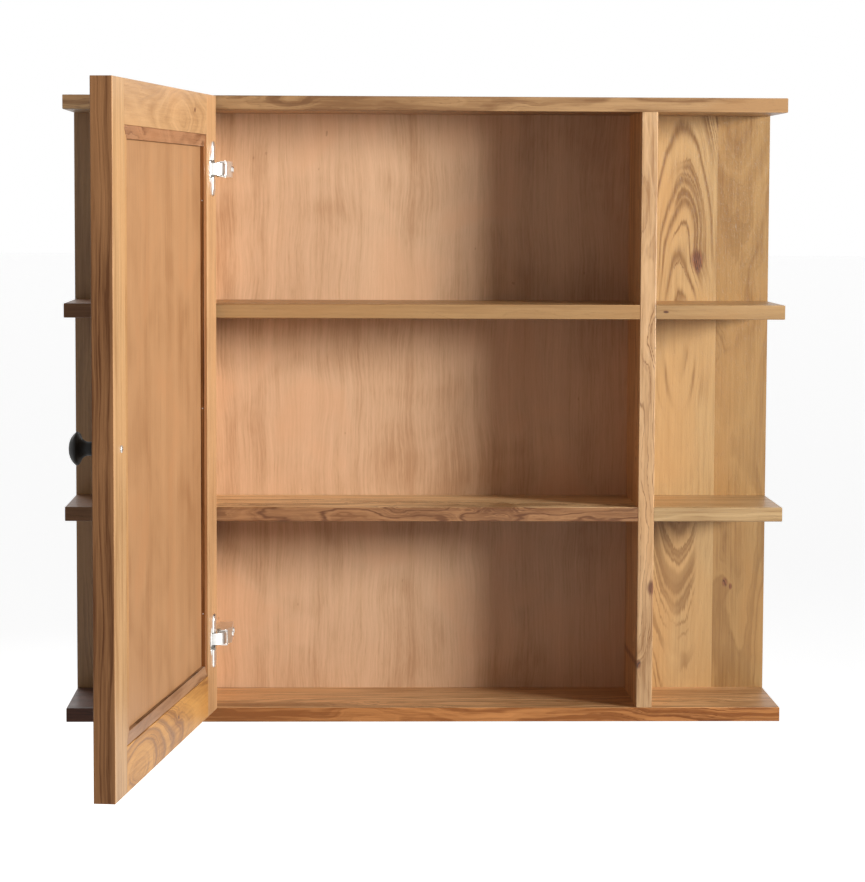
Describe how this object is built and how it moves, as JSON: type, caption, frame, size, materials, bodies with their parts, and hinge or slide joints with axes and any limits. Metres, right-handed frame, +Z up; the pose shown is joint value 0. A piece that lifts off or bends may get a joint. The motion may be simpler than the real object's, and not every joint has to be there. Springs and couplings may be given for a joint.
{
  "type": "hanging wall cabinet",
  "caption": "Wall-hung acacia cabinet: shelved centre behind one mirror door on concealed hinges, with open shelf bays at both sides.",
  "frame": {"origin": "on the wall plane at the back, midway between the round holes of the two hanger plates", "axes": "+X to the right seen from the room, +Y into the wall, +Z up"},
  "size_m": [0.8, 0.6626, 0.697],
  "materials": {
    "acacia": "clear satin lacquer over solid acacia, honey brown with dark streaks and knots",
    "plywood": "pinkish plywood with fine upright grain, satin",
    "beech_dowel": "plain turned beech",
    "mirror_glass": "silvered glass, 4 mm",
    "nickel_hinge": "bright nickel-plated pressed steel",
    "steel_fixings": "zinc-plated steel",
    "zinc_hanger": "zinc-plated sheet steel",
    "black_knob": "satin black"
  },
  "bodies": {
    "carcass": {"top_board": "acacia", "bottom_board": "acacia", "left_divider": "acacia", "right_divider": "acacia", "centre_upper_shelf": "acacia", "left_upper_shelf": "acacia", "right_upper_shelf": "acacia", "centre_lower_shelf": "acacia", "left_lower_shelf": "acacia", "right_lower_shelf": "acacia", "left_outer_back_plank": "acacia", "left_inner_back_plank": "acacia", "right_outer_back_plank": "acacia", "right_inner_back_plank": "acacia", "centre_back_panel": "plywood", "shelf_dowels": "beech_dowel", "divider_screws": "steel_fixings", "back_plank_screws": "steel_fixings", "back_panel_tacks": "steel_fixings", "left_hanger_plate": "zinc_hanger", "right_hanger_plate": "zinc_hanger", "hanger_screws": "steel_fixings", "upper_hinge_plate": "nickel_hinge", "upper_hinge_arm": "nickel_hinge", "lower_hinge_plate": "nickel_hinge", "lower_hinge_arm": "nickel_hinge", "hinge_plate_screws": "steel_fixings", "hinge_arm_screws": "steel_fixings", "hinge_arm_pins": "steel_fixings"},
    "door": {"door_hinge_stile": "acacia", "door_free_stile": "acacia", "door_top_rail": "acacia", "door_bottom_rail": "acacia", "door_back_panel": "plywood", "door_mirror": "mirror_glass", "door_top_bead": "acacia", "door_bottom_bead": "acacia", "door_hinge_side_bead": "acacia", "door_free_side_bead": "acacia", "upper_hinge_cup": "nickel_hinge", "lower_hinge_cup": "nickel_hinge", "knob": "black_knob", "knob_screw": "steel_fixings", "door_frame_dowels": "beech_dowel", "door_bead_pins": "steel_fixings", "hinge_cup_screws": "steel_fixings"},
    "hinge_links": {"upper_hinge_link": "nickel_hinge", "lower_hinge_link": "nickel_hinge", "hinge_link_pins": "steel_fixings"}
  },
  "joints": [
    {"name": "door_swing", "type": "hinge", "parent": "carcass", "child": "door", "pos_m": [-0.24638, -0.16337, 0], "axis": [0, 0, -1], "range_deg": [-98.1, 0]},
    {"name": "hinge_link_turn", "type": "hinge", "parent": "carcass", "child": "hinge_links", "pos_m": [-0.222, -0.154, 0], "axis": [0, 0, -1], "range_deg": [-0.5, 42.71]}
  ],
  "couplings": [
    {"joint": "hinge_link_turn", "follows": "door_swing", "ratio": -0.43031}
  ]
}
